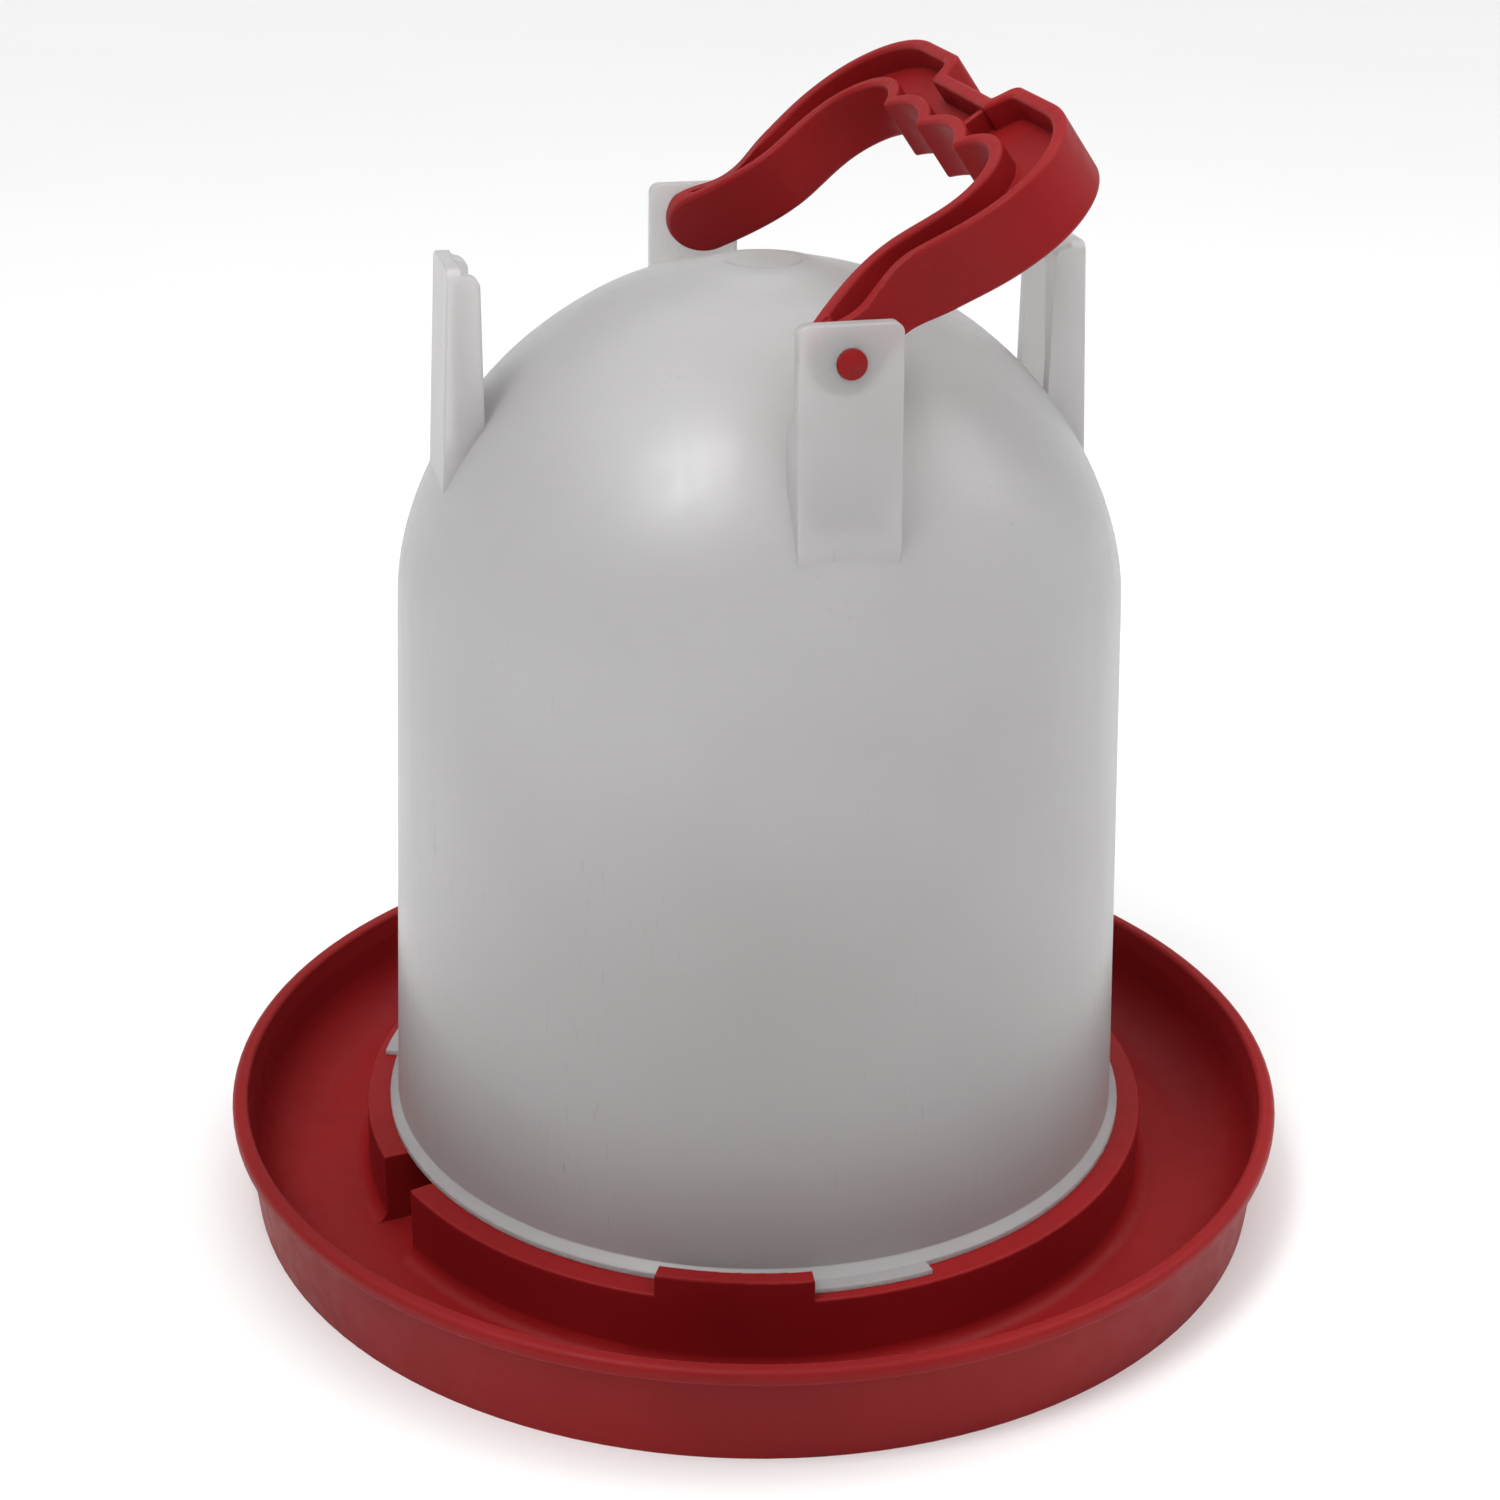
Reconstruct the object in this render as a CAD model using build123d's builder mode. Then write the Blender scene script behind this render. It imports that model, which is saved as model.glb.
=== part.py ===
from build123d import *
from math import asin, cos, degrees, pi, radians, sin, sqrt, tan
import os

# Fount drinker for poultry: a see-through tank held by a bayonet on a round drinking tray, with a
# swinging carrying handle clipped between two of the four lugs on the tank's dome.
# Millimetres, Z up, Z = 0 under the tray, origin on the tank's axis, handle pivot along Y.

# Drinking tray
RIM_R = 148.0           # outside of the rolled rim
RIM_TOP = 29.4
RIM_BEAD = 4.2          # width and height of the rolled rim
RIM_OVERHANG = 3.0      # how far the rim stands out past the wall
RIM_ROUND_TOP = 1.9     # rounding of the rim's outer top edge
RIM_ROUND = 1.2         # rounding of its other edges
FOOT_R = 142.5          # outside of the wall at the floor
TRAY_T = 2.4            # wall and floor thickness
COVE_R = 16.0           # sweep of the trough floor into the outer wall
SHELF_R = 110.8         # outside of the raised ring that carries the tank
SHELF_IN_R = 95.5
SHELF_Z = 22.9
SHELF_COVE = 4.0
SHELF_ROUND = 0.7

# Bayonet: three clips on the tray over three tabs on the tank
CLIP_COUNT = 3
CLIP_PITCH = 360 / CLIP_COUNT
CLIP_START = 243.0      # azimuth of the closed end
CLIP_END = 264.0        # azimuth of the open end
CLIP_H = 6.0            # height above the ring
CLIP_LIP_IN_R = 106.2
CLIP_WALL_IN_R = 108.5
CLIP_LIP_T = 3.4
CLIP_STOP = 2.0         # angle taken by the end wall
CLIP_EDGE = 0.6
TAB_START = 246.0
TAB_END = 281.0
TAB_R = 108.0
TAB_T = 1.4

# Water port through the raised ring
PORT_START = 190.5
PORT_END = 200.0
PORT_SIDE = 1.4         # angle taken by each side wall

# Tank
SEAT_GAP = 0.1          # between the tank's rim and the ring
TANK_R = 102.0          # outside of the wall at its foot
SHOULDER_R = 95.5       # outside of the wall where the dome begins
SHOULDER_Z = 174.9
DOME_H = 86.0
DOME_N = 2.052          # roundness of the dome across
DOME_M = 1.713          # roundness of the dome in height
TANK_T = 2.0
FLANGE_R = 104.2
FLANGE_T = 1.4
FLANGE_ROUND = 0.5
GATE_R = 9.6            # raised disc in the middle of the dome
GATE_H = 0.4

# Lugs round the dome
LUG_OUT = 81.8          # top of the outer face from the axis
LUG_DRAFT = 3.2         # the outer face leans out downwards by this angle
LUG_T = 3.6
LUG_W = 25.0
LUG_TOP = 264.6
LUG_CORNER = 2.6
LUG_EDGE = 0.5
RIB_T = 4.0
RIB_DEPTH = 8.0         # how far the side ribs reach in, outer face included
RIB_LOW_TOP = 243.0     # top of the ribs on the handle lugs, under the swinging boss
LUG_FOOT_Z = 190.0      # inside the tank, trimmed away with the cavity

# Carrying handle
LEAN = 55.0             # from upright, as it rests
PIVOT_Z = 255.6
HALF_T = 8.6            # half the handle's thickness
PIN_R = 3.6
PIN_PLAY = 0.05
PIN_PROUD = 2.4         # past the top of the lug's outer face
PIN_CONE = 1.4          # length of the pin's point
PIN_END_R = 0.5         # flat left at the tip
BOSS_OUT = 77.8         # outer face of the arm at the pivot
BOSS_TOP_S = 1.0        # top of the boss's flat face, from the pivot
ARM_FOOT_Y = 74.5       # inner face of the arm below the pivot
HANDLE_WALL = 3.6
HANDLE_WEB = 3.0
HANDLE_EDGE = 1.1       # rounding of the walls' edges
FINGER_PITCH = 29.0
TOOTH_S = 53.4          # tooth tips from the pivot
FINGER_S = 57.6         # bottoms of the finger hollows from the pivot
NOTCH_HALF_IN = 19.0
NOTCH_HALF_OUT = 23.0
NOTCH_S = 70.0
TOP_S = 76.2
CORNER_Y = 48.0         # where the top bends down into an arm
BULGE_Y = 80.0          # widest point of an arm
BULGE_S = 49.5
POCKET_END_OUT = 0.98   # how far down the arm the pocket runs, along the arm's outside
POCKET_END_IN = 0.13    # and where it starts along the arm's inside, from the pivot
NOTCH_ROUND_OUT = 5.0   # rounding of the notch's corners
NOTCH_ROUND_IN = 1.8
POCKET_ROUND = 6.0      # rounding of the pocket beside the notch
DIP_S = 10.0            # lowest place of a dip in the outer wall's edges, from the pivot
DIP_TOP_S = 31.0        # where the dip begins, up the arm
DIP_END_S = -5.0        # and where it ends, on the boss
DIP_DEPTH = 2.8
DIP_TOP_Y = 64.0        # the dip's inner side at its top
DIP_WAIST_Y = 65.5      # and at its lowest place
DIP_LOW_Y = 72.0        # and at the pivot, clear of the inner wall
RIB_Y = 17.5            # short cross rib beside the notch
CROSS_RIB_T = 2.4
RIB_SUNK = 1.6          # below the walls' edges

OVERLAP = 1.0           # how far pieces that are joined run into each other
TINY = 0.01             # for finding faces by their height

os.makedirs("parts", exist_ok=True)


def at(radius, azimuth):
    """A point in plan from its distance to the axis and its azimuth in degrees."""
    return (radius * cos(radians(azimuth)), radius * sin(radians(azimuth)))


def sector(inner, outer, start, end):
    """A piece of a ring between two azimuths, drawn in the sketch being built."""
    middle = (start + end) / 2
    with BuildLine() as outline:
        ThreePointArc(at(outer, start), at(outer, middle), at(outer, end))
        Line(at(outer, end), at(inner, end))
        ThreePointArc(at(inner, end), at(inner, middle), at(inner, start))
        Line(at(inner, start), at(outer, start))
    make_face(outline.edges())


def round_corner(sketch, point, radius):
    """Rounds the corner of a sketch that lies nearest to a point given in its own plane."""
    fillet(sketch.vertices().sort_by_distance((*point, 0))[0], radius)


def dome(radius, base_z, height, steps=9):
    """Points of a half dome outline from its shoulder to its top."""
    turns = [0.5 * pi * k / steps for k in range(steps)]
    outline = [
        (radius * cos(t) ** (2 / DOME_N), base_z + height * sin(t) ** (2 / DOME_M))
        for t in turns
    ]
    return outline + [(0, base_z + height)]


def beside(curve, distance, start, end, steps=7):
    """Points along part of a curve, each moved square to it, to the right of its direction."""
    spots = [start + (end - start) * k / steps for k in range(steps + 1)]
    return [curve @ t + (curve % t).rotate(Axis.Z, -90) * distance for t in spots]


def bell(foot_r, foot_z, shoulder_r, height):
    """Half section of a tapering wall with a dome on it, drawn in the sketch being built."""
    lean = (shoulder_r - foot_r, SHOULDER_Z - foot_z)
    with BuildLine() as outline:
        Line((0, foot_z), (foot_r, foot_z))
        Line((foot_r, foot_z), (shoulder_r, SHOULDER_Z))
        Spline(*dome(shoulder_r, SHOULDER_Z, height), tangents=[lean, (-1, 0)])
        Line((0, SHOULDER_Z + height), (0, foot_z))
    make_face(outline.edges())


# ---------------------------------------------------------------------------------------------
# Drinking tray
wall_out_r = RIM_R - RIM_OVERHANG
bead_z = RIM_TOP - RIM_BEAD
rim_in_r = RIM_R - RIM_BEAD
wall_in_r = FOOT_R - TRAY_T
hollow_in_r = SHELF_IN_R + TRAY_T
hollow_out_r = SHELF_R - TRAY_T
ring_under_z = SHELF_Z - TRAY_T
sweep_r = COVE_R + TRAY_T
sweep_x = FOOT_R - sweep_r
sweep_meet_z = sweep_r - sqrt(sweep_r**2 - COVE_R**2)
clip_top_z = SHELF_Z + CLIP_H

with BuildPart() as tray:
    with BuildSketch(Plane.XZ) as tray_section:
        with BuildLine():
            Polyline(
                (0, 0),
                (FOOT_R, 0),
                (wall_out_r, bead_z),
                (RIM_R, bead_z),
                (RIM_R, RIM_TOP),
                (rim_in_r, RIM_TOP),
                (wall_out_r - TRAY_T, bead_z - RIM_BEAD / 2),
                (wall_in_r, TRAY_T),
                (SHELF_R, TRAY_T),
                (SHELF_R, SHELF_Z),
                (SHELF_IN_R, SHELF_Z),
                (SHELF_IN_R, TRAY_T),
                (0, TRAY_T),
                close=True,
            )
        make_face()
        round_corner(tray_section, (RIM_R, RIM_TOP), RIM_ROUND_TOP)
        round_corner(tray_section, (RIM_R, bead_z), RIM_ROUND)
        round_corner(tray_section, (rim_in_r, RIM_TOP), RIM_ROUND)
        round_corner(tray_section, (wall_in_r, TRAY_T), COVE_R)
        round_corner(tray_section, (SHELF_R, TRAY_T), SHELF_COVE)
        round_corner(tray_section, (SHELF_R, SHELF_Z), SHELF_ROUND)
        round_corner(tray_section, (SHELF_IN_R, SHELF_Z), SHELF_ROUND)
        round_corner(tray_section, (SHELF_IN_R, TRAY_T), SHELF_COVE)
        # hollow under the raised ring
        with BuildLine():
            Polyline(
                (hollow_in_r, 0),
                (hollow_out_r, 0),
                (hollow_out_r, ring_under_z),
                (hollow_in_r, ring_under_z),
                close=True,
            )
        make_face(mode=Mode.SUBTRACT)
        # hollow between the sweep of the trough and the foot of the wall
        with BuildLine():
            Line((sweep_x, 0), (wall_in_r, 0))
            Line((wall_in_r, 0), (wall_in_r, sweep_meet_z))
            CenterArc((sweep_x, sweep_r), sweep_r, -90, degrees(asin(COVE_R / sweep_r)))
        make_face(mode=Mode.SUBTRACT)
    revolve(axis=Axis.Z)
    # closed ends of the ring's hollow on both sides of the port
    with BuildSketch():
        block_start = PORT_START - PORT_SIDE
        block_end = PORT_END + PORT_SIDE
        sector(hollow_in_r - OVERLAP, hollow_out_r + OVERLAP, block_start, block_end)
    extrude(amount=ring_under_z + OVERLAP)
    with BuildSketch(Plane.XY.offset(TRAY_T)):
        sector(SHELF_IN_R - SHELF_COVE, SHELF_R + SHELF_COVE, PORT_START, PORT_END)
    extrude(amount=SHELF_Z, mode=Mode.SUBTRACT)
    # clips: a wall on the ring, an inward lip above it and a closed end
    with BuildSketch(Plane.XY.offset(SHELF_Z - TRAY_T / 2)):
        for k in range(CLIP_COUNT):
            start = CLIP_START + k * CLIP_PITCH
            sector(CLIP_WALL_IN_R, SHELF_R, start, CLIP_END + k * CLIP_PITCH)
            sector(CLIP_LIP_IN_R, SHELF_R, start, start + CLIP_STOP)
    extrude(amount=CLIP_H + TRAY_T / 2)
    with BuildSketch(Plane.XY.offset(clip_top_z - CLIP_LIP_T)):
        for k in range(CLIP_COUNT):
            turn = k * CLIP_PITCH
            sector(CLIP_LIP_IN_R, SHELF_R, CLIP_START + turn, CLIP_END + turn)
    extrude(amount=CLIP_LIP_T)
    clip_faces = tray.faces().filter_by_position(Axis.Z, clip_top_z - TINY, clip_top_z + TINY)
    fillet(clip_faces.edges(), CLIP_EDGE)

tray.part.label = "drinking_tray"
export_step(tray.part, "parts/drinking_tray.step")

# ---------------------------------------------------------------------------------------------
# Tank
tank_foot_z = SHELF_Z + SEAT_GAP
tank_in_r = TANK_R - TANK_T
lug_in = LUG_OUT - LUG_T
rib_in = LUG_OUT - RIB_DEPTH
lug_flare = (LUG_TOP - LUG_FOOT_Z) * tan(radians(LUG_DRAFT))

lugs = {}
for kind, rib_top in {"plain": LUG_TOP, "handle": RIB_LOW_TOP}.items():
    with BuildPart() as lug:
        with BuildSketch(Plane.XZ):
            with BuildLine():
                Polyline(
                    (lug_in, LUG_TOP),
                    (LUG_OUT, LUG_TOP),
                    (LUG_OUT + lug_flare, LUG_FOOT_Z),
                    (lug_in + lug_flare, LUG_FOOT_Z),
                    close=True,
                )
            make_face()
        extrude(amount=LUG_W / 2, both=True)
        top_corners = lug.edges().filter_by(Axis.X).group_by(Axis.Z)[-1]
        fillet(top_corners, LUG_CORNER)
        for side in (-1, 1):
            with BuildSketch(Plane.XZ.offset(side * (LUG_W / 2 - RIB_T / 2))) as rib:
                with BuildLine():
                    Polyline(
                        (rib_in, LUG_FOOT_Z),
                        (lug_in + lug_flare + LUG_T / 2, LUG_FOOT_Z),
                        (lug_in + LUG_T / 2, rib_top - LUG_CORNER),
                        (lug_in, rib_top - LUG_CORNER / 2),
                        (rib_in, rib_top - LUG_CORNER),
                        close=True,
                    )
                make_face()
                round_corner(rib, (rib_in, rib_top - LUG_CORNER), LUG_CORNER)
            extrude(amount=RIB_T / 2, both=True)
        if kind == "handle":
            with BuildSketch(Plane.YZ.offset(rib_in)):
                with Locations((0, PIVOT_Z)):
                    Circle(PIN_R + PIN_PLAY)
            extrude(amount=2 * RIB_DEPTH, mode=Mode.SUBTRACT)
        outer_face = lug.faces().sort_by(Axis.X)[-1]
        fillet(outer_face.outer_wire().edges().sort_by(Axis.Z)[1:], LUG_EDGE)
    lugs[kind] = lug.part

with BuildPart() as tank:
    with BuildSketch(Plane.XZ):
        bell(TANK_R, tank_foot_z, SHOULDER_R, DOME_H)
    revolve(axis=Axis.Z)
    with BuildSketch(Plane.XZ) as flange_section:
        with BuildLine():
            Polyline(
                (tank_in_r, tank_foot_z),
                (FLANGE_R, tank_foot_z),
                (FLANGE_R, tank_foot_z + FLANGE_T),
                (tank_in_r, tank_foot_z + FLANGE_T + FLANGE_R - tank_in_r),
                close=True,
            )
        make_face()
        round_corner(flange_section, (FLANGE_R, tank_foot_z + FLANGE_T), FLANGE_ROUND)
    revolve(axis=Axis.Z)
    # bayonet tabs
    with BuildSketch(Plane.XY.offset(tank_foot_z)):
        for k in range(CLIP_COUNT):
            turn = k * CLIP_PITCH
            sector(TANK_R - TANK_T / 2, TAB_R, TAB_START + turn, TAB_END + turn)
    extrude(amount=TAB_T)
    # lugs: the handle hangs between the two that lie along Y
    with PolarLocations(0, 2):
        add(lugs["plain"])
    with PolarLocations(0, 2, start_angle=90):
        add(lugs["handle"])
    with BuildSketch(Plane.XY.offset(SHOULDER_Z + DOME_H - TANK_T / 2)):
        Circle(GATE_R)
    extrude(amount=GATE_H + TANK_T / 2)
    with BuildSketch(Plane.XZ):
        bell(tank_in_r, tank_foot_z, SHOULDER_R - TANK_T, DOME_H - TANK_T)
    revolve(axis=Axis.Z, mode=Mode.SUBTRACT)

tank.part.label = "fount_tank"
export_step(tank.part, "parts/fount_tank.step")

# ---------------------------------------------------------------------------------------------
# Carrying handle, built upright round its pivot at the origin and leaned over at the end
finger_r = ((FINGER_PITCH / 2) ** 2 + (FINGER_S - TOOTH_S) ** 2) / (2 * (FINGER_S - TOOTH_S))
finger_s = FINGER_S - finger_r
notch_slope = (NOTCH_HALF_OUT - NOTCH_HALF_IN) / (TOP_S - NOTCH_S)
notch_inset = HANDLE_WALL * (sqrt(1 + notch_slope**2) - notch_slope)
pin_end = LUG_OUT + PIN_PROUD
groove_s = finger_s + sqrt((finger_r + HANDLE_WALL) ** 2 - (FINGER_PITCH / 2) ** 2)

with BuildSketch(Plane.YZ) as bow:
    with BuildLine():
        Polyline(
            (0, NOTCH_S),
            (NOTCH_HALF_IN, NOTCH_S),
            (NOTCH_HALF_OUT, TOP_S),
            (CORNER_Y, TOP_S),
        )
        EllipticalCenterArc(
            (CORNER_Y, BULGE_S), BULGE_Y - CORNER_Y, TOP_S - BULGE_S, start_angle=0, arc_size=90
        )
        arm_outside = Spline(
            (BULGE_Y, BULGE_S),
            (75.5, 32.5),
            (71.0, 18.5),
            (BOSS_OUT, BOSS_TOP_S),
            tangents=[(0, -1), (0, -1)],
        )
        Line((BOSS_OUT, BOSS_TOP_S), (BOSS_OUT, -HALF_T))
        Line((BOSS_OUT, -HALF_T), (ARM_FOOT_Y, -HALF_T))
        arm_inside = Spline(
            (ARM_FOOT_Y, -HALF_T),
            (67.0, 0),
            (59.5, 10.2),
            (55.1, 25.0),
            (59.3, 43.5),
            (54.5, 53.0),
            (44.0, 58.0),
            (FINGER_PITCH, TOOTH_S),
        )
        ThreePointArc((FINGER_PITCH, TOOTH_S), (FINGER_PITCH / 2, FINGER_S), (0, TOOTH_S))
        Line((0, TOOTH_S), (0, NOTCH_S))
    make_face()
    round_corner(bow, (NOTCH_HALF_OUT, TOP_S), NOTCH_ROUND_OUT)
    round_corner(bow, (NOTCH_HALF_IN, NOTCH_S), NOTCH_ROUND_IN)
    mirror(about=Plane.YZ)

with BuildSketch(Plane.YZ) as pocket:
    with BuildLine():
        Polyline(
            (0, NOTCH_S - HANDLE_WALL),
            (NOTCH_HALF_IN + notch_inset, NOTCH_S - HANDLE_WALL),
            (NOTCH_HALF_OUT + notch_inset, TOP_S - HANDLE_WALL),
            (CORNER_Y, TOP_S - HANDLE_WALL),
        )
        EllipticalCenterArc(
            (CORNER_Y, BULGE_S),
            BULGE_Y - CORNER_Y - HANDLE_WALL,
            TOP_S - BULGE_S - HANDLE_WALL,
            start_angle=0,
            arc_size=90,
        )
        outside = beside(arm_outside, HANDLE_WALL, 0, POCKET_END_OUT)
        inside = beside(arm_inside, HANDLE_WALL, POCKET_END_IN, 1)
        Spline(*outside)
        Line(outside[-1], inside[0])
        Spline(*inside[:-1], (FINGER_PITCH, groove_s))
        ThreePointArc(
            (FINGER_PITCH, groove_s),
            (FINGER_PITCH / 2, FINGER_S + HANDLE_WALL),
            (0, groove_s),
        )
        Line((0, groove_s), (0, NOTCH_S - HANDLE_WALL))
    make_face()
    round_corner(
        pocket,
        (NOTCH_HALF_OUT + notch_inset, TOP_S - HANDLE_WALL),
        POCKET_ROUND,
    )
    mirror(about=Plane.YZ)

# dips for the outer walls' edges above the pivots
with BuildPart() as dips:
    with BuildSketch(Plane.XZ):
        with BuildLine():
            Spline(
                (HALF_T + TINY, DIP_TOP_S),
                (HALF_T - DIP_DEPTH, DIP_S),
                (HALF_T + TINY, DIP_END_S),
                tangents=[(0, -1), (0, -1)],
            )
            Polyline(
                (HALF_T + TINY, DIP_END_S),
                (HALF_T + OVERLAP, DIP_END_S),
                (HALF_T + OVERLAP, DIP_TOP_S),
                (HALF_T + TINY, DIP_TOP_S),
            )
        make_face()
        mirror(about=Plane.YZ)
    extrude(amount=BULGE_Y, both=True)
    with BuildSketch(Plane.YZ):
        with BuildLine():
            Polyline(
                (DIP_TOP_Y, DIP_TOP_S),
                (BULGE_Y, DIP_TOP_S),
                (BULGE_Y, DIP_END_S),
                (DIP_LOW_Y, DIP_END_S),
                (DIP_LOW_Y, 0),
                (DIP_WAIST_Y, DIP_S),
                close=True,
            )
        make_face()
        mirror(about=Plane.YZ)
    extrude(amount=2 * HALF_T, both=True, mode=Mode.INTERSECT)

with BuildPart() as upright:
    extrude(bow.sketch, amount=HALF_T, both=True)
    # round ends about the pivot
    with BuildSketch(Plane.XZ):
        Circle(HALF_T)
        with Locations((0, TOP_S)):
            Rectangle(2 * HALF_T, 2 * TOP_S)
    extrude(amount=2 * BULGE_Y, both=True, mode=Mode.INTERSECT)
    # a pocket on each side leaves two walls and a web between them
    for side in (-1, 1):
        with BuildSketch(Plane.YZ.offset(side * HANDLE_WEB / 2)):
            add(pocket.sketch_local)
        extrude(amount=side * HALF_T, mode=Mode.SUBTRACT)
    for end in (0, -1):
        fillet(upright.faces().sort_by(Axis.X)[end].outer_wire().edges(), HANDLE_EDGE)
        fillet(upright.faces().sort_by(Axis.X)[end].inner_wires()[0].edges(), HANDLE_EDGE)
    add(dips.part, mode=Mode.SUBTRACT)
    # short rib between the notch and a finger hollow
    with BuildSketch(Plane.YZ.offset(-HALF_T + RIB_SUNK)):
        with Locations((-RIB_Y, (FINGER_S + NOTCH_S) / 2)):
            Rectangle(CROSS_RIB_T, NOTCH_S - FINGER_S - HANDLE_WALL)
    extrude(amount=HALF_T - RIB_SUNK)
    # pins with pointed ends, through the lugs
    with BuildSketch():
        with BuildLine():
            Polyline(
                (0, BOSS_OUT - HANDLE_WALL),
                (PIN_R, BOSS_OUT - HANDLE_WALL),
                (PIN_R, pin_end - PIN_CONE),
                (PIN_END_R, pin_end),
                (0, pin_end),
                close=True,
            )
        make_face()
        mirror(about=Plane.XZ)
    revolve(axis=Axis.Y)

with BuildPart() as handle:
    with Locations(Location((0, 0, PIVOT_Z), (0, LEAN, 0))):
        add(upright.part)

handle.part.label = "carry_handle"
export_step(handle.part, "parts/carry_handle.step")
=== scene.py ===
import math

import bpy
from mathutils import Matrix, Vector


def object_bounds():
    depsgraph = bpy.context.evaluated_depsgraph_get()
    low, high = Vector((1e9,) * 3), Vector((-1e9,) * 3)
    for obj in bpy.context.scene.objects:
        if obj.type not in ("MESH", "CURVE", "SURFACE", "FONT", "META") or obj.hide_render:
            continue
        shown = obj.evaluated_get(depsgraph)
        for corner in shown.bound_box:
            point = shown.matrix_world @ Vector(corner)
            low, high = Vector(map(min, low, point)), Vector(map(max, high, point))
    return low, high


# A fount drinker for poultry: see-through white tank, red drinking tray, red carrying handle.
# The CAD nodes keep their shapes. This script gives them their plastics, the light and the camera.

# Camera, in metres and degrees
CAMERA_AZIMUTH = -14.29      # where it stands round the tank, from straight in front
CAMERA_DISTANCE = 0.6524     # level distance from the tank's axis
CAMERA_HEIGHT = 0.4113
CAMERA_TURN = 0.18           # turned off the tank's axis
CAMERA_DOWN = 23.66
CAMERA_ROLL = 0.59
CAMERA_LENS = 62.48          # millimetres
CAMERA_FRAME = 36            # width of the camera's sensor, millimetres
CAMERA_NEAREST = 0.01

# Light: places and sizes in metres, power in watts
WHITE = (1.0, 1.0, 1.0)
WORLD_STRENGTH = 0.27
SKY_STRENGTH = 2.05
SKY_SPREAD = 100             # degrees
KEY_PLACE, KEY_SIZE, KEY_POWER = (-0.55, -0.42, 1.36), (0.45, 0.65), 8.5
FILL_PLACE, FILL_SIZE, FILL_POWER = (1.00, -0.10, 1.20), (1.0, 1.0), 5

# Floor: flat for so many widths of the object from the middle, then curved up to a wall
FLOOR_WIDTHS = 12
FLOOR_STEPS = 10
FLOOR_SIDES = 64

# Colours, linear
RED = (0.235, 0.0085, 0.0100)
RED_DEEP = (0.175, 0.0060, 0.0070)
RED_WORN = (0.36, 0.030, 0.032)
TRAY_TONE = 1.08             # the tray's share of those reds
# The handle's higher tone is painted light: the same red as the tray, made lighter on the handle
# because more light falls on it
HANDLE_PAINTED_LIGHT_TONE = 1.20
MILK = (0.77, 0.76, 0.76)
MILK_DEEP = (0.69, 0.675, 0.67)
SCUFF = (0.36, 0.34, 0.29)
FLOOR = (0.90, 0.90, 0.90)
FLOOR_DEEP = 0.985           # the floor's darker patches, as a share of its colour

# How fine a pattern is, per metre
GRAIN = 2600                 # moulded grain
WAVE = 70                    # slow unevenness of a moulded wall
RED_CLOUDS = 9
RED_SPECKLE = 420            # where a rubbed edge has lost its colour
RED_SHINE = 160              # dull and glossier patches
MILK_WAVE = 26
MILK_CLOUDS = 11
MILK_STREAKS = (260, 260, 9)      # drawn out along the tank's height
SCRATCHES = (900, 900, 110)
SCRATCHED = 22               # patches that have scratches
FLOOR_CLOUDS = 3

# The part of a pattern, between 0 and 1, over which it goes from nothing to all
MIDDLE = (0.3, 0.7)
RED_CLOUD_BAND = (0.35, 0.65)
SPECKLE_BAND = (0.45, 0.70)
SCRATCH_BAND = (0.64, 0.76)
SCRATCHED_BAND = (0.55, 0.68)
WORN_BAND = (1.0, 0.80)      # cosine between the real and the rounded normal
NONE_TO_ALL = (0.0, 1.0)
SCRATCH_SHOWN = (0.0, 0.35)
RED_ROUGHNESS = (0.40, 0.52)
MILK_ROUGHNESS = (0.36, 0.46)
FLOOR_ROUGHNESS = 0.75

# Bumps: strength, and height in metres
RED_WAVE_BUMP = (0.25, 0.0006)
MILK_WAVE_BUMP = (0.30, 0.0010)
STREAK_BUMP = (0.10, 0.0002)
MILK_GRAIN_BUMP = (0.10, 0.00008)
RED_GRAIN_HEIGHT = 0.00012
TRAY_GRAIN = 0.20
HANDLE_GRAIN = 0.35
EDGE = 0.0005                # how far an edge looks rounded, in metres
EDGE_SAMPLES = 4

# How far each colour of light goes inside the plastic, as a share of its scatter scale
RED_SCATTER = (1.0, 0.25, 0.2)
MILK_SCATTER = (1.0, 0.95, 0.9)


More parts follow.
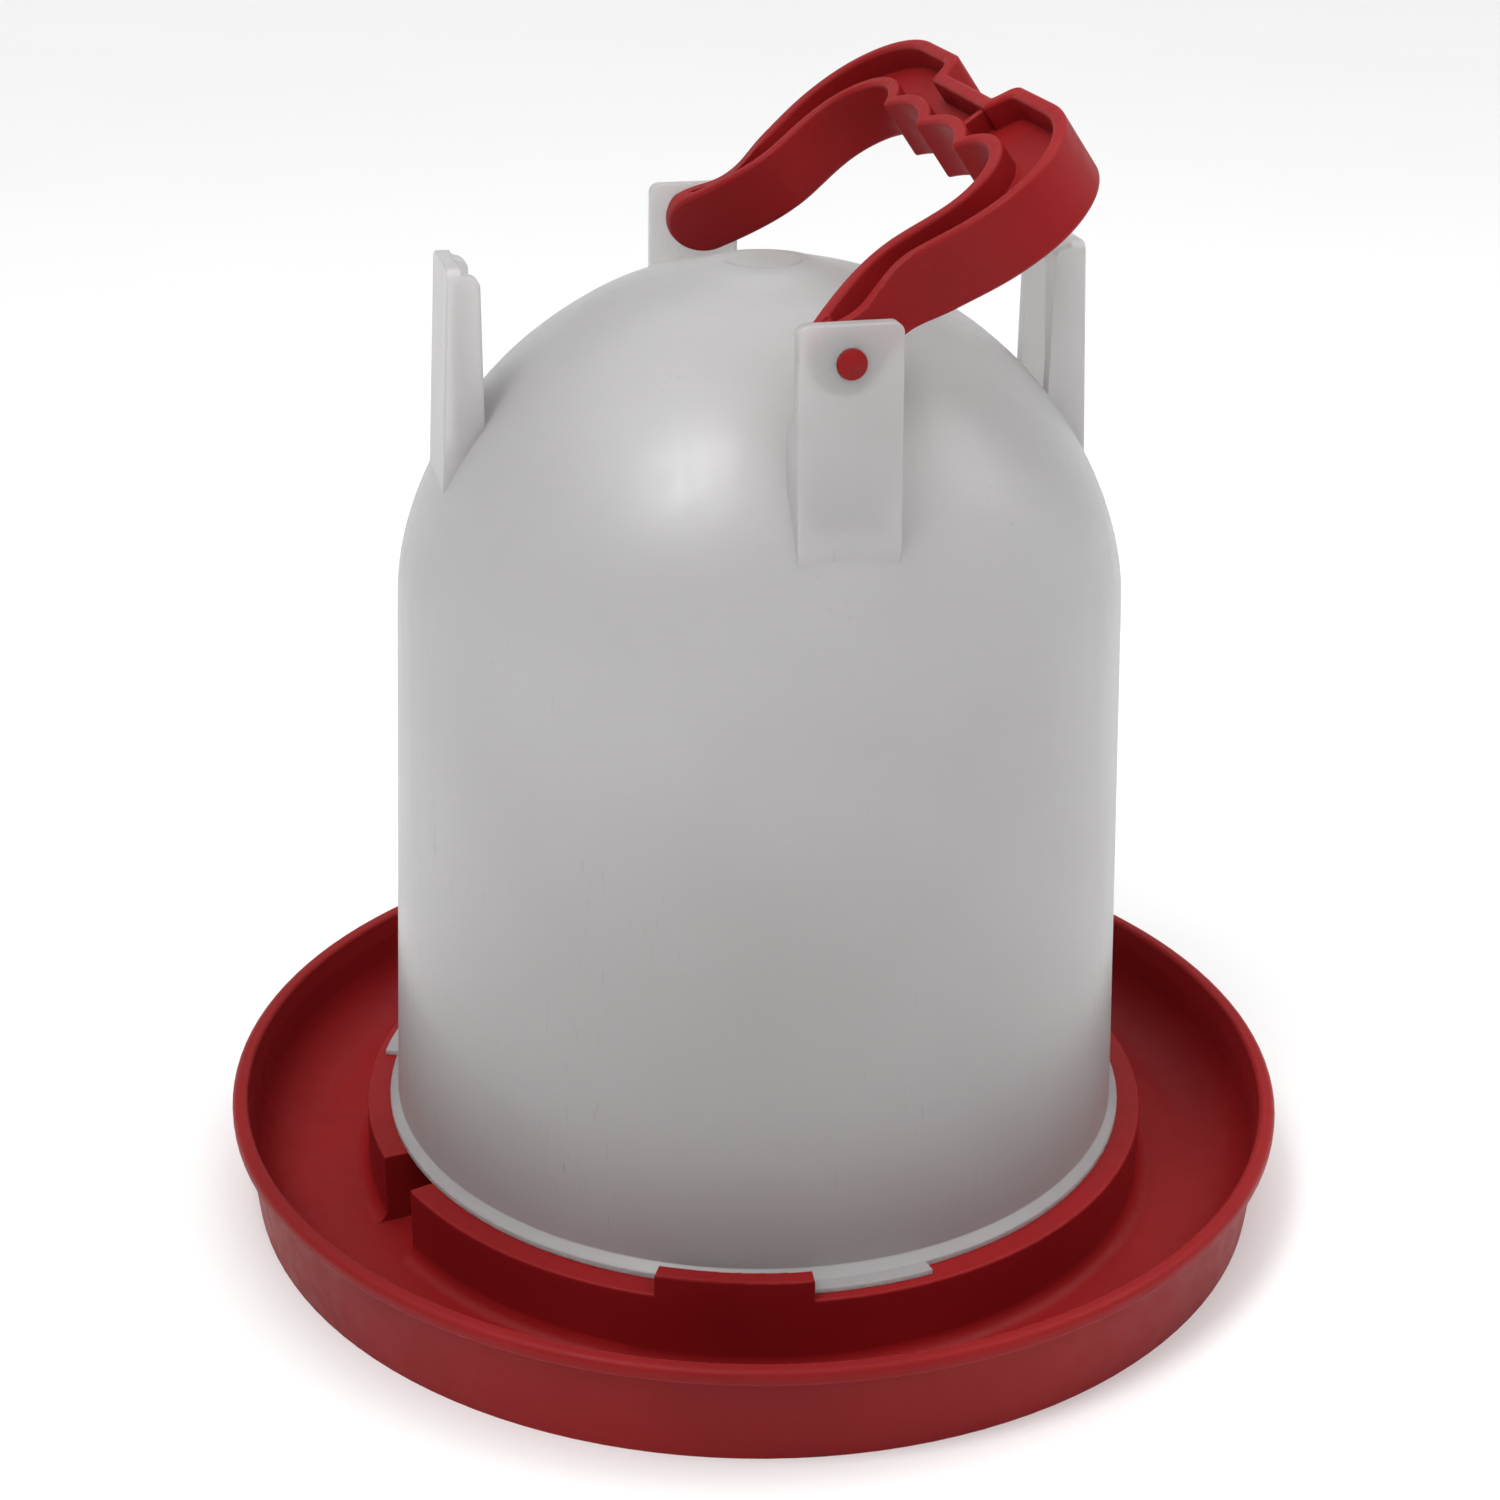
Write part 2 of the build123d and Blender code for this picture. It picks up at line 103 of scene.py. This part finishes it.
class Surface:
    """A node material on one Principled shader, with short calls for the nodes that feed it."""

    def __init__(self, name):
        self.material = bpy.data.materials.new(name)
        self.material.use_nodes = True
        self.tree = self.material.node_tree
        self.shader = self.tree.nodes["Principled BSDF"]
        self.place = self.node("ShaderNodeTexCoord").outputs["Object"]

    def node(self, kind, **settings):
        made = self.tree.nodes.new(kind)
        for key, value in settings.items():
            setattr(made, key, value)
        return made

    def link(self, source, target):
        self.tree.links.new(source, target)

    def set(self, **values):
        """Plain values on the shader's own sockets, with underscores for spaces."""
        for key, value in values.items():
            self.shader.inputs[key.replace("_", " ")].default_value = value

    def stretched(self, scale):
        mapping = self.node("ShaderNodeMapping")
        mapping.inputs["Scale"].default_value = scale
        self.link(self.place, mapping.inputs["Vector"])
        return mapping.outputs["Vector"]

    def noise(self, scale, detail=2.0, roughness=0.5, place=None):
        made = self.node("ShaderNodeTexNoise")
        made.inputs["Scale"].default_value = scale
        made.inputs["Detail"].default_value = detail
        made.inputs["Roughness"].default_value = roughness
        self.link(place or self.place, made.inputs["Vector"])
        return made.outputs["Fac"]

    def ranged(self, value, band, result=NONE_TO_ALL):
        """The value's band, of a low and a high end, stretched or squeezed to the result's."""
        made = self.node("ShaderNodeMapRange")
        for key, number in zip(("From Min", "From Max", "To Min", "To Max"), band + result):
            made.inputs[key].default_value = number
        self.link(value, made.inputs["Value"])
        return made.outputs["Result"]

    def mixed(self, amount, first, second):
        """Colour between two, each a plain colour or another node's output."""
        made = self.node("ShaderNodeMix", data_type="RGBA")
        self.link(amount, made.inputs["Factor"])
        for key, colour in (("A", first), ("B", second)):
            socket = next(s for s in made.inputs if s.name == key and s.type == "RGBA")
            if isinstance(colour, tuple):
                socket.default_value = (*colour, 1)
            else:
                self.link(colour, socket)
        return next(s for s in made.outputs if s.type == "RGBA")

    def product(self, first, second):
        made = self.node("ShaderNodeMath", operation="MULTIPLY")
        self.link(first, made.inputs[0])
        self.link(second, made.inputs[1])
        return made.outputs["Value"]

    def rounded_normal(self, radius):
        made = self.node("ShaderNodeBevel", samples=EDGE_SAMPLES)
        made.inputs["Radius"].default_value = radius
        return made.outputs["Normal"]

    def worn_edges(self, radius):
        """0 on open surface, towards 1 on outside and inside edges."""
        real = self.node("ShaderNodeNewGeometry").outputs["Normal"]
        dot = self.node("ShaderNodeVectorMath", operation="DOT_PRODUCT")
        self.link(self.rounded_normal(radius), dot.inputs[0])
        self.link(real, dot.inputs[1])
        return self.ranged(dot.outputs["Value"], WORN_BAND)

    def bumps(self, *layers):
        """Bumps on a softly rounded normal: each layer is (pattern, strength, height)."""
        normal = self.rounded_normal(EDGE)
        for pattern, strength, height in layers:
            bump = self.node("ShaderNodeBump")
            bump.inputs["Strength"].default_value = strength
            bump.inputs["Distance"].default_value = height
            self.link(pattern, bump.inputs["Height"])
            self.link(normal, bump.inputs["Normal"])
            normal = bump.outputs["Normal"]
        self.link(normal, self.shader.inputs["Normal"])


def red_plastic(name, tone, grain_strength):
    """Red polyethylene with a fine moulded grain, paler where edges are rubbed."""
    s = Surface(name)
    clouds = s.ranged(s.noise(RED_CLOUDS, detail=3), RED_CLOUD_BAND)
    # The tone scales both reds; the handle's higher tone is painted light, a lighter copy of the
    # tray's red where more light falls
    body = s.mixed(clouds, *(tuple(tone * part for part in red) for red in (RED_DEEP, RED)))
    rubbed = s.worn_edges(EDGE * 2)
    speckle = s.ranged(s.noise(RED_SPECKLE, detail=4, roughness=0.7), SPECKLE_BAND)
    s.link(s.mixed(s.product(rubbed, speckle), body, RED_WORN), s.shader.inputs["Base Color"])
    shine = s.ranged(s.noise(RED_SHINE, detail=3), MIDDLE, RED_ROUGHNESS)
    s.link(shine, s.shader.inputs["Roughness"])
    s.bumps(
        (s.noise(WAVE), *RED_WAVE_BUMP),
        (s.noise(GRAIN, roughness=0.6), grain_strength, RED_GRAIN_HEIGHT),
    )
    s.set(IOR=1.40, Specular_IOR_Level=0.17)
    s.set(Subsurface_Weight=0.10, Subsurface_Scale=0.002, Subsurface_Radius=RED_SCATTER)
    return s.material


def milky_plastic(name):
    """Natural polyethylene: hazy, lets light through, with faint flow streaks and scuffs."""
    s = Surface(name)
    clouds = s.ranged(s.noise(MILK_CLOUDS, detail=4), MIDDLE)
    body = s.mixed(clouds, MILK_DEEP, MILK)
    streaks = s.noise(1, detail=4, roughness=0.6, place=s.stretched(MILK_STREAKS))
    scratches = s.ranged(s.noise(1, place=s.stretched(SCRATCHES)), SCRATCH_BAND, SCRATCH_SHOWN)
    scuffs = s.product(scratches, s.ranged(s.noise(SCRATCHED), SCRATCHED_BAND))
    s.link(s.mixed(scuffs, body, SCUFF), s.shader.inputs["Base Color"])
    s.link(s.ranged(streaks, MIDDLE, MILK_ROUGHNESS), s.shader.inputs["Roughness"])
    s.bumps(
        (s.noise(MILK_WAVE), *MILK_WAVE_BUMP),
        (streaks, *STREAK_BUMP),
        (s.noise(GRAIN), *MILK_GRAIN_BUMP),
    )
    s.set(IOR=1.5, Transmission_Weight=0.58, Coat_Weight=0.24, Coat_Roughness=0.28)
    s.set(Subsurface_Weight=0.50, Subsurface_Scale=0.020, Subsurface_Radius=MILK_SCATTER)
    return s.material


def floor_paint(name):
    s = Surface(name)
    clouds = s.ranged(s.noise(FLOOR_CLOUDS, detail=3), MIDDLE)
    deep = tuple(part * FLOOR_DEEP for part in FLOOR)
    s.link(s.mixed(clouds, deep, FLOOR), s.shader.inputs["Base Color"])
    s.set(Roughness=FLOOR_ROUGHNESS)
    return s.material


def dress(node, material):
    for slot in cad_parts[node].material_slots:
        slot.material = material


def add_floor(low, high):
    """A wide round floor that curves up to a wall all the way round, far from the object."""
    flat = FLOOR_WIDTHS * (high[0] - low[0])
    bend = flat / 2
    profile = [(bend / 2, 0.0)]
    for step in range(FLOOR_STEPS + 1):
        turn = math.pi / 2 * step / FLOOR_STEPS
        profile.append((flat + bend * math.sin(turn), bend * (1 - math.cos(turn))))
    angles = [2 * math.pi * side / FLOOR_SIDES for side in range(FLOOR_SIDES)]
    verts = [
        (radius * math.cos(angle), radius * math.sin(angle), low[2] + rise)
        for radius, rise in profile
        for angle in angles
    ]
    faces = [tuple(range(FLOOR_SIDES))]
    for inner in range(0, len(verts) - FLOOR_SIDES, FLOOR_SIDES):
        outer = inner + FLOOR_SIDES
        for side in range(FLOOR_SIDES):
            after = (side + 1) % FLOOR_SIDES
            faces.append((inner + side, outer + side, outer + after, inner + after))
    mesh = bpy.data.meshes.new("floor")
    mesh.from_pydata(verts, [], faces)
    mesh.shade_smooth()
    floor = bpy.data.objects.new("floor", mesh)
    floor.data.materials.append(floor_paint("floor_paint"))
    bpy.context.scene.collection.objects.link(floor)


def add_sky(strength, spread):
    """Even soft light from above, the same over the whole floor."""
    light = bpy.data.lights.new("sky", "SUN")
    light.energy = strength
    light.angle = math.radians(spread)
    bpy.context.scene.collection.objects.link(bpy.data.objects.new("sky", light))


def add_softbox(name, place, aim, size, power):
    light = bpy.data.lights.new(name, "AREA")
    light.shape = "ELLIPSE"
    light.size, light.size_y = size
    light.energy = power
    lamp = bpy.data.objects.new(name, light)
    lamp.location = place
    lamp.rotation_euler = (Vector(aim) - Vector(place)).to_track_quat("-Z", "Y").to_euler()
    bpy.context.scene.collection.objects.link(lamp)


def add_world(colour, strength):
    world = bpy.data.worlds.new("studio")
    world.use_nodes = True
    background = world.node_tree.nodes["Background"]
    background.inputs["Color"].default_value = (*colour, 1)
    background.inputs["Strength"].default_value = strength
    bpy.context.scene.world = world


def add_camera():
    round_axis = math.radians(CAMERA_AZIMUTH)
    heading = math.radians(CAMERA_AZIMUTH + CAMERA_TURN)
    down = math.radians(CAMERA_DOWN)
    roll = math.radians(CAMERA_ROLL)
    ahead = Vector(
        (-math.sin(heading) * math.cos(down), math.cos(heading) * math.cos(down), -math.sin(down))
    )
    right = Vector((math.cos(heading), math.sin(heading), 0))
    above = right.cross(ahead)
    tilted_right = right * math.cos(roll) + above * math.sin(roll)
    tilted_up = above * math.cos(roll) - right * math.sin(roll)
    turn = Matrix((tilted_right, tilted_up, -ahead)).transposed().to_4x4()
    away = Vector((math.sin(round_axis), -math.cos(round_axis), 0))
    place = CAMERA_DISTANCE * away + Vector((0, 0, CAMERA_HEIGHT))
    camera = bpy.data.objects.new("camera", bpy.data.cameras.new("camera"))
    camera.data.lens = CAMERA_LENS
    camera.data.sensor_width = CAMERA_FRAME
    camera.data.clip_start = CAMERA_NEAREST
    camera.matrix_world = Matrix.Translation(place) @ turn
    bpy.context.scene.collection.objects.link(camera)
    bpy.context.scene.camera = camera


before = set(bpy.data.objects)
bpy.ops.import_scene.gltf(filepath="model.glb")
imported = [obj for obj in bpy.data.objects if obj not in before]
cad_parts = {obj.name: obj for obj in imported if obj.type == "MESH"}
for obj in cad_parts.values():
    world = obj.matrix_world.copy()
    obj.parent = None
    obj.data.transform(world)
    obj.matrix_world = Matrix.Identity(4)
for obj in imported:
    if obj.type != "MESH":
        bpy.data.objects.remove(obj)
cad_low, cad_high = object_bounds()

dress("drinking_tray", red_plastic("tray_red", TRAY_TONE, TRAY_GRAIN))
# The handle's red is a lighter copy of the tray's red, with painted light for the light that falls
# on it
dress("carry_handle", red_plastic("handle_red_painted_light", HANDLE_PAINTED_LIGHT_TONE, HANDLE_GRAIN))
dress("fount_tank", milky_plastic("tank_milk"))

add_floor(cad_low, cad_high)
add_world(WHITE, WORLD_STRENGTH)
middle = ((cad_low[0] + cad_high[0]) / 2, 0, cad_high[2] / 2)
add_sky(SKY_STRENGTH, SKY_SPREAD)
add_softbox("key", KEY_PLACE, middle, KEY_SIZE, KEY_POWER)
add_softbox("fill", FILL_PLACE, middle, FILL_SIZE, FILL_POWER)
add_camera()
bpy.context.scene.view_settings.view_transform = "Standard"
